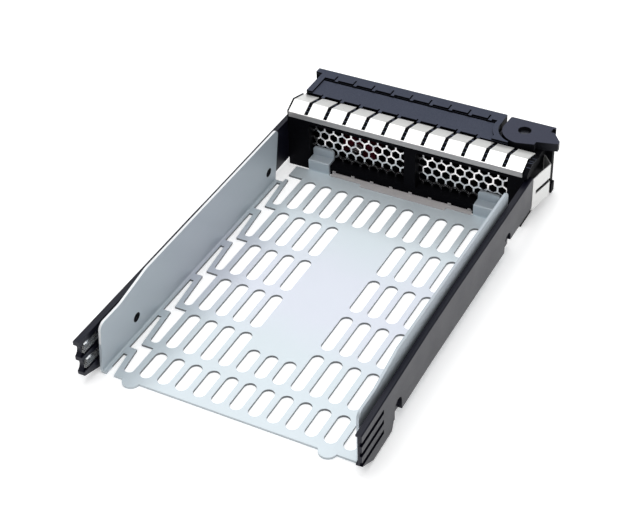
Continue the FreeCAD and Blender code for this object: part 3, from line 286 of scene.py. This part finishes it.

# %% [markdown]
# ## Moulded plastic
# Rails and bezel are moulded in filled nylon. Up close the skin has a fine spark-eroded texture, which
# spreads the highlights, and handling polishes it in patches. A very fine noise drives the bump and a
# wide one varies the roughness. The plastic is nearly black, so most of what it shows is the room in
# its skin, and a slight tint of that reflection makes the black look cool.
#
# The bezel and the lever keep their charcoal colour only on their tops and fronts; their side walls,
# notches and pockets are painted black as shade. The tops lie at known heights and the fronts at a known
# place, so a band round each picks them out of the Object coordinates.


# %% Moulded plastic
COOL = (0.80, 0.83, 1.0)
SKIN = 0.05 * MM
# Painted shade: the black that the bezel's and the lever's side walls, notches and pockets take.
SIDE_SHADE_BLACK = (0.003, 0.003, 0.004)
WEAR_SHARE, TEXTURE_SHARE = 0.4, 0.6
WEAR_ROUGH, TEXTURE_ROUGH = 0.14, 0.05


def moulded_plastic(name, colour, shade, rough, specular, tops=(), front=None):
    """Plastic. With a front, only the flat faces at the heights in tops and at that front keep the colour;
    all other faces are painted black as shade.
    """
    finish = Finish(name)
    texture = finish.noise(size_mm=0.35, detail=2.0)
    wear = finish.noise(size_mm=14.0, detail=3.0)
    pale = wear * WEAR_SHARE + texture.ramp(start=0.3, end=0.7) * TEXTURE_SHARE
    skin_colour = pale.mix(shade, colour)
    roughness = rough + wear * WEAR_ROUGH - texture * TEXTURE_ROUGH
    if front is not None:
        _, y, z = finish.split()
        unshaded_faces = y.ramp(front - 2 * SKIN, front - SKIN)
        for height in tops:
            unshaded_faces = unshaded_faces.either(z.band(height - SKIN, height + SKIN, SKIN))
        # All faces but those tops and that front are painted black as shade.
        skin_colour = unshaded_faces.mix(SIDE_SHADE_BLACK, skin_colour)
    finish.set(Base_Color=skin_colour, Roughness=roughness, Specular_IOR_Level=specular, Specular_Tint=COOL)
    return finish.bump(texture, depth_mm=0.02, strength=0.5).material


BAR_TOPS = (28.5 * MM, 27.5 * MM)
LEVER_ARM_TOP = 21.2 * MM
bezel_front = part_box("bezel_frame")[1].y
lever_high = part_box("ejector_lever")[1]
rail_black = moulded_plastic("rail_black", colour=(0.005, 0.005, 0.010), shade=(0.003, 0.003, 0.007),
                             rough=0.30, specular=0.28)
button_maroon = moulded_plastic("button_maroon", colour=(0.24, 0.024, 0.045), shade=(0.18, 0.017, 0.034),
                                rough=0.30, specular=0.45)
bezel_black = moulded_plastic("bezel_painted_side_shade", colour=(0.076, 0.084, 0.115), shade=(0.048, 0.055, 0.080),
                              rough=0.46, specular=0.03, tops=BAR_TOPS, front=bezel_front)
lever_charcoal = moulded_plastic("lever_charcoal", colour=(0.040, 0.044, 0.070), shade=(0.032, 0.035, 0.056),
                                 rough=0.44, specular=0.3, tops=(lever_high.z, LEVER_ARM_TOP),
                                 front=lever_high.y)
print("plastics:", rail_black.name, button_maroon.name, bezel_black.name, lever_charcoal.name)

# %% [markdown]
# ## Springs and clear mouldings
# The finger strip and the side spring are bright nickel-plated spring sheet, smoother than the tray.
# Below the fingers the strip hangs down as a lip whose rolled surface is rougher, and is painted darker as a
# dark reflection. Wire springs are
# darker drawn steel, and the hinge pin is blackened. The light pipes are clear plastic, so light goes
# through them: their shader has transmission and the index of refraction of acrylic. The guard strip
# under the windows is a hazy film of the same plastic, which scatters more than it lets through.


# %% Springs and clear plastic
ROLLED_ACROSS = (30.0, 1.0, 1.0)
SPRING_ROUGH, SPRING_GRAIN, SPRING_CLOUD = 0.24, 0.06, 0.05
SPRING_METAL = 0.7
# Painted reflection: the lip is painted darker to show the dark things it reflects.
LIP_SHADE_NICKEL, DULL_ROUGH = (0.44, 0.43, 0.43), 0.15
LIP_SHADE_LEAST, LIP_SHADE_GRAIN = 0.75, 0.5
WIRE_ROUGH, WIRE_CLOUD = 0.28, 0.1
HAZE_ROUGH, ACRYLIC_IOR = 0.05, 1.49


def bright_spring(name, colour, shade, lip=None):
    """Nickel-plated spring sheet. Its skin at y = lip and behind it is rougher and painted darker, as a
    painted dark reflection.
    """
    finish = Finish(name)
    grain = finish.noise(size_mm=0.4, detail=3.0, stretch=ROLLED_ACROSS)
    cloud = finish.noise(size_mm=9.0, detail=2.0)
    face = cloud.mix(shade, colour)
    rough = SPRING_ROUGH + grain * SPRING_GRAIN + cloud * SPRING_CLOUD
    if lip is not None:
        y = finish.split()[1]
        # On the lip: rougher, and painted darker as a dark reflection.
        on_lip = 1.0 - y.ramp(lip + SKIN, lip + 2 * SKIN)
        face = (on_lip * (LIP_SHADE_LEAST + grain * LIP_SHADE_GRAIN)).mix(face, LIP_SHADE_NICKEL)
        rough = rough + on_lip * DULL_ROUGH
    finish.set(Base_Color=face, Metallic=SPRING_METAL, Roughness=rough)
    return finish.bump(grain, depth_mm=0.004, strength=0.1).material


def drawn_wire(name, colour, shade):
    """Bare drawn steel with small clouds of colour and gloss."""
    finish = Finish(name)
    cloud = finish.noise(size_mm=1.2, detail=2.0)
    finish.set(Base_Color=cloud.mix(shade, colour), Metallic=1.0, Roughness=WIRE_ROUGH + cloud * WIRE_CLOUD)
    return finish.material


def clear_plastic(name, colour, shade, rough, transmission):
    """Plastic that lets through a share of the light, with a slight haze."""
    finish = Finish(name)
    haze = finish.noise(size_mm=4.0, detail=3.0)
    finish.set(Base_Color=haze.mix(shade, colour), Roughness=haze * HAZE_ROUGH + rough,
               Transmission_Weight=transmission, IOR=ACRYLIC_IOR)
    return finish.material


strip_bright = bright_spring("strip_bright", colour=(0.96, 0.96, 0.94), shade=(0.90, 0.90, 0.88),
                             lip=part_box("finger_strip")[0].y)
spring_bright = bright_spring("spring_bright", colour=(0.71, 0.71, 0.70), shade=(0.64, 0.64, 0.63))
spring_wire = drawn_wire("spring_wire", colour=(0.56, 0.56, 0.57), shade=(0.36, 0.36, 0.37))
pin_steel = drawn_wire("pin_steel", colour=(0.10, 0.104, 0.125), shade=(0.08, 0.083, 0.10))
clear_moulding = clear_plastic("clear_moulding", colour=(0.97, 0.98, 0.98), shade=(0.90, 0.93, 0.94),
                               rough=0.03, transmission=0.95)
guard_film = clear_plastic("guard_film", colour=(0.70, 0.67, 0.67), shade=(0.52, 0.50, 0.50),
                           rough=0.30, transmission=0.25)
print("springs:", strip_bright.name, spring_bright.name, spring_wire.name, pin_steel.name)
print("clear plastics:", clear_moulding.name, guard_film.name)

# %% [markdown]
# ## One finish for each solid
# Each piece of the real tray is made of one material, so each solid takes one finish. They could be
# picked by hand in Blender, but a table from the solid's name to its finish shows at a glance what every
# piece is made of, and it still holds after the part is packed again.

# %% Give each solid its finish
FINISHES = {
    "tray_sheet": sheet_steel, "vent_screen": screen_steel, "left_rail": rail_black, "right_rail": rail_black,
    "bezel_frame": bezel_black, "ejector_lever": lever_charcoal, "hinge_pin": pin_steel,
    "release_button": button_maroon, "finger_strip": strip_bright, "side_spring": spring_bright,
    "lever_spring": spring_wire, "button_spring": spring_wire, "light_pipe_upper": clear_moulding,
    "light_pipe_lower": clear_moulding, "guard_strip": guard_film,
}
for name, material in FINISHES.items():
    solid = nodes[name]
    solid.data.materials.clear()
    solid.data.materials.append(material)
print("finishes:", len(FINISHES), "of", len(nodes), "solids")

# %% [markdown]
# ## A wound spring
# The release button leans on a small coil spring that stands on the tray. A rigid coil would poke into
# the button when that is pressed. The scene winds one of its own in the solid's place, a tube along a
# helix, hides the solid and hangs the new coil on the tray's body.


# %% Button spring
COIL_WIRE, COIL_TURNS = 0.6 * MM, 4.5
STEPS_PER_TURN, AROUND = 40, 14


def wire_coil(name, low, high):
    """A round wire wound about the Y axis, filling the box from low to high.

    With a = 2 pi turns s for s from 0 to 1, the wire's middle is c + (R cos a, h s, R sin a). A point of
    its skin is that plus r (cos b out + sin b up): out = (cos a, 0, sin a), up is square to out and to
    the wire, b goes once round, and r is half the wire's thickness.
    """
    radius = COIL_WIRE / 2
    reach, height = (high.x - low.x) / 2 - radius, high.y - low.y - COIL_WIRE
    steps = int(COIL_TURNS * STEPS_PER_TURN) + 1
    share = np.linspace(0.0, 1.0, steps)
    turn = 2 * np.pi * COIL_TURNS * share
    out = np.stack([np.cos(turn), np.zeros(steps), np.sin(turn)], axis=1)
    start = np.array([(low.x + high.x) / 2, low.y + radius, (low.z + high.z) / 2])
    middle = start + reach * out + height * share[:, None] * np.array([0.0, 1.0, 0.0])
    slope = 2 * np.pi * COIL_TURNS * reach
    along = np.stack([-slope * np.sin(turn), np.full(steps, height), slope * np.cos(turn)], axis=1)
    up = np.cross(along / np.linalg.norm(along, axis=1, keepdims=True), out)
    ring = 2 * np.pi * np.arange(AROUND) / AROUND
    offset = np.cos(ring)[:, None] * out[:, None, :] + np.sin(ring)[:, None] * up[:, None, :]
    points = (middle[:, None, :] + radius * offset).reshape(-1, 3)
    row, column = np.meshgrid(np.arange(steps - 1), np.arange(AROUND), indexing="ij")
    first, second = row * AROUND + column, row * AROUND + (column + 1) % AROUND
    quads = np.stack([first, second, second + AROUND, first + AROUND], axis=-1).reshape(-1, 4)
    ends = [np.arange(AROUND)[::-1], np.arange(AROUND) + (steps - 1) * AROUND]
    mesh = bpy.data.meshes.new(name)
    mesh.from_pydata(points.tolist(), [], quads.tolist() + [end.tolist() for end in ends])
    mesh.polygons.foreach_set("use_smooth", np.ones(len(mesh.polygons), dtype=bool))
    made = bpy.data.objects.new(name, mesh)
    bpy.context.collection.objects.link(made)
    return made


coil_low, coil_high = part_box("button_spring")
coil = wire_coil("button_coil", coil_low, coil_high)
coil.data.materials.append(spring_wire)
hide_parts("button_spring")
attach(coil, "tray")
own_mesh(coil)

# %% [markdown]
# ## Floor
# The tray stands on white paper that fades into the background. A single large sheet is enough for that.
# Its paper glows a little, as on a light table, so that the ground stays pale under the tray.

# %% Floor
FLOOR_HALF, FLOOR_DROP = 1.6, 0.05 * MM
PAPER, PAPER_SHADE, PAPER_GLOW = (0.98, 0.98, 0.98), (0.96, 0.96, 0.96), 0.3
ground = cad_box[0].z - FLOOR_DROP
corners = [(-FLOOR_HALF, -FLOOR_HALF, ground), (FLOOR_HALF, -FLOOR_HALF, ground),
           (FLOOR_HALF, FLOOR_HALF, ground), (-FLOOR_HALF, FLOOR_HALF, ground)]
floor_mesh = bpy.data.meshes.new("floor")
floor_mesh.from_pydata(corners, [], [(0, 1, 2, 3)])
floor = bpy.data.objects.new("floor", floor_mesh)
bpy.context.collection.objects.link(floor)
paper = Finish("floor_paper")
paper.set(Base_Color=paper.noise(size_mm=40.0).mix(PAPER_SHADE, PAPER), Roughness=0.9,
          Emission_Color=(1.0, 1.0, 1.0), Emission_Strength=PAPER_GLOW)
floor_mesh.materials.append(paper.material)
print("floor:", 2 * FLOOR_HALF, "m square")

# %% [markdown]
# ## Light
# The photograph is lit softly from all round. A plain sheet of metal shows the lamps as a dull mirror
# does, so the softbox hangs where the tray's floor sends its light to the camera. The top lamp reaches
# the far end of the floor, which the bezel hides from the softbox, and the low lamp behind gives a sheen
# to faces that tilt away from the camera. A picture of a studio could stand for them all, but lamps can
# be moved one by one.

# %% Light
SKY, SKY_STRENGTH = (0.97, 0.985, 1.0, 1.0), 0.28
world = bpy.data.worlds.new("studio")
bpy.context.scene.world = world
world.use_nodes = True
background = world.node_tree.nodes["Background"]
background.inputs["Color"].default_value = SKY
background.inputs["Strength"].default_value = SKY_STRENGTH


def lamp(name, place, target, width, height, power):
    """A rectangular area lamp at a place, facing a target. Sizes are in metres and power in watts."""
    data = bpy.data.lights.new(name, "AREA")
    data.shape = "RECTANGLE"
    data.size = width
    data.size_y = height
    data.energy = power
    made = bpy.data.objects.new(name, data)
    bpy.context.collection.objects.link(made)
    made.location = place
    made.rotation_euler = (Vector(target) - Vector(place)).to_track_quat("-Z", "Y").to_euler()
    return made


lamps = [
    lamp("softbox", place=(-0.3, 0.57, 0.8), target=(-0.3, 0.57, 0), width=0.9, height=1.06, power=4.3),
    lamp("top", place=(0.1, -0.25, 0.9), target=(0.1, -0.25, 0), width=0.9, height=0.9, power=4.6),
    lamp("key", place=(0.7, -0.15, 0.6), target=(0, 0, 0), width=0.6, height=0.6, power=1.0),
    lamp("fill", place=(-0.6, -0.5, 0.5), target=(0, 0, 0), width=0.6, height=0.6, power=0.4),
    lamp("low_back", place=(-0.41, 1.1, 0.18), target=(-0.41, 0, 0.18), width=1.2, height=0.32, power=0.6),
]
print("lamps:", ", ".join(made.name for made in lamps))

# %% [markdown]
# ## Camera
# The camera stands where the photograph was taken from. Its place, direction, roll and lens were worked
# out from the tray's straight edges. It could be aimed by eye, but then no edge would fall where it does
# in the photograph.

# %% Camera
CAMERA_PLACE = Vector((211.96, -385.55, 373.47)) * MM
AZIMUTH, ELEVATION, ROLL = math.radians(28.9), math.radians(39.1), math.radians(2.28)
LENS, SENSOR, NEAREST = 85.14, 36.0, 0.01
forward = Vector((-math.sin(AZIMUTH) * math.cos(ELEVATION), math.cos(AZIMUTH) * math.cos(ELEVATION),
                  -math.sin(ELEVATION)))
level_right = Vector((math.cos(AZIMUTH), math.sin(AZIMUTH), 0.0))
right = Matrix.Rotation(ROLL, 3, forward) @ level_right
up = right.cross(forward)
camera_data = bpy.data.cameras.new("camera")
camera_data.lens = LENS
camera_data.sensor_width = SENSOR
camera_data.clip_start = NEAREST
camera = bpy.data.objects.new("camera", camera_data)
bpy.context.collection.objects.link(camera)
camera.matrix_world = Matrix.Translation(CAMERA_PLACE) @ Matrix((right, up, -forward)).transposed().to_4x4()
bpy.context.scene.camera = camera
print("camera looks along", tuple(round(value, 4) for value in forward))

# %% [markdown]
# ## Look
# The Standard view keeps white paper white, where a film-like view would make it grey.

# %% Look
bpy.context.scene.view_settings.view_transform = "Standard"
